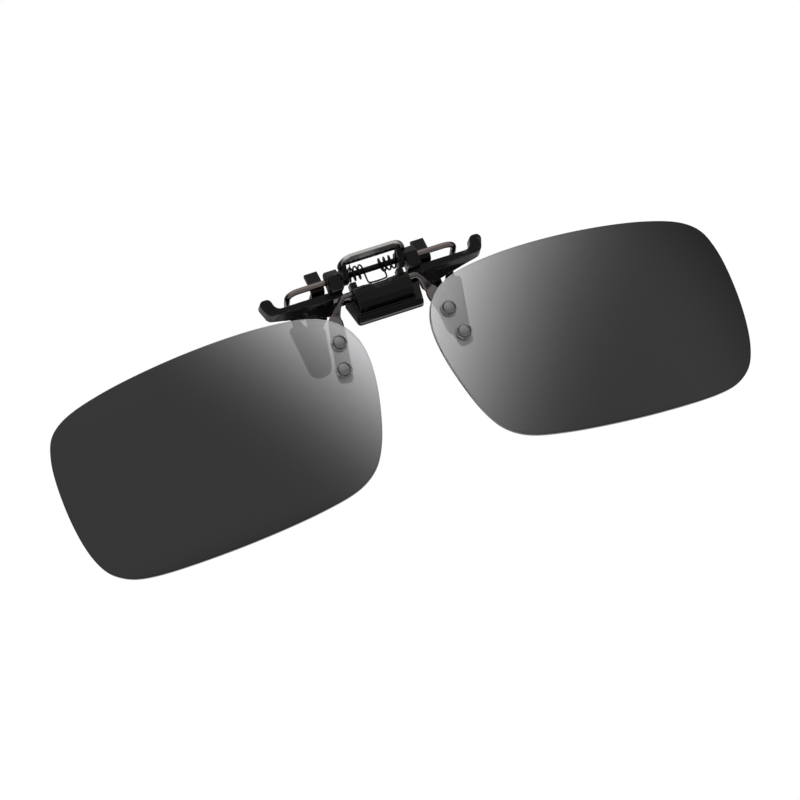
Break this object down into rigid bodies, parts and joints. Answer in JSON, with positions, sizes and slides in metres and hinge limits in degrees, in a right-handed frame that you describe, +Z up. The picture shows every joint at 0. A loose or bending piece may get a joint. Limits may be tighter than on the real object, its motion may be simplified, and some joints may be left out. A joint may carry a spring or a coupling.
{
  "type": "flip-up clip-on sunglasses",
  "caption": "Clip-on sunglasses: a sprung metal clip grips a pair of glasses, and two rimless tinted lenses on a wire bridge flip up in front of it.",
  "frame": {"origin": "middle of the clip's flat rear face, which lies against the front of the glasses", "axes": "+X along the lens pair to the viewer's right, +Y back towards the wearer, +Z up; lenses hang down as worn"},
  "size_m": [0.1252, 0.0169, 0.0417],
  "materials": {
    "black_metal": "satin to glossy black lacquer on die-formed metal",
    "bronze_wire": "dark bronze plated wire with warm highlights",
    "spring_wire": "blackened spring steel wire",
    "gunmetal": "polished dark gunmetal plating",
    "steel": "dark polished rivet steel",
    "silicone": "soft matte smoky silicone",
    "clear_nylon": "translucent nylon washer",
    "tinted_lens": "neutral grey polarised plastic lens, glossy"
  },
  "bodies": {
    "clip_frame": {"arm_plate": "black_metal", "hinge_block": "black_metal", "body_rivet_left": "steel", "body_rivet_right": "steel", "torsion_spring": "spring_wire"},
    "rear_jaw": {"jaw_rod": "bronze_wire", "rear_plate": "black_metal", "thumb_lever": "gunmetal", "prong_sleeve_left": "silicone", "prong_sleeve_right": "silicone"},
    "lens_pair": {"bridge_wire": "bronze_wire", "lens_left": "tinted_lens", "lens_right": "tinted_lens", "lens_rivet_upper_left": "steel", "lens_washer_upper_left": "clear_nylon", "lens_rivet_lower_left": "steel", "lens_washer_lower_left": "clear_nylon", "lens_rivet_upper_right": "steel", "lens_washer_upper_right": "clear_nylon", "lens_rivet_lower_right": "steel", "lens_washer_lower_right": "clear_nylon"}
  },
  "joints": [
    {"name": "lens_flip", "type": "hinge", "parent": "clip_frame", "child": "lens_pair", "pos_m": [0, -0.0047, 0.0011], "axis": [-1, 0, 0], "range_deg": [0, 95]},
    {"name": "clip_open", "type": "hinge", "parent": "clip_frame", "child": "rear_jaw", "pos_m": [0, -0.003, 0.0049], "axis": [1, 0, 0], "range_deg": [0, 25], "stiffness_Nm_per_rad": 0.04, "springref_deg": -20.05, "deforming": ["torsion_spring"]}
  ]
}
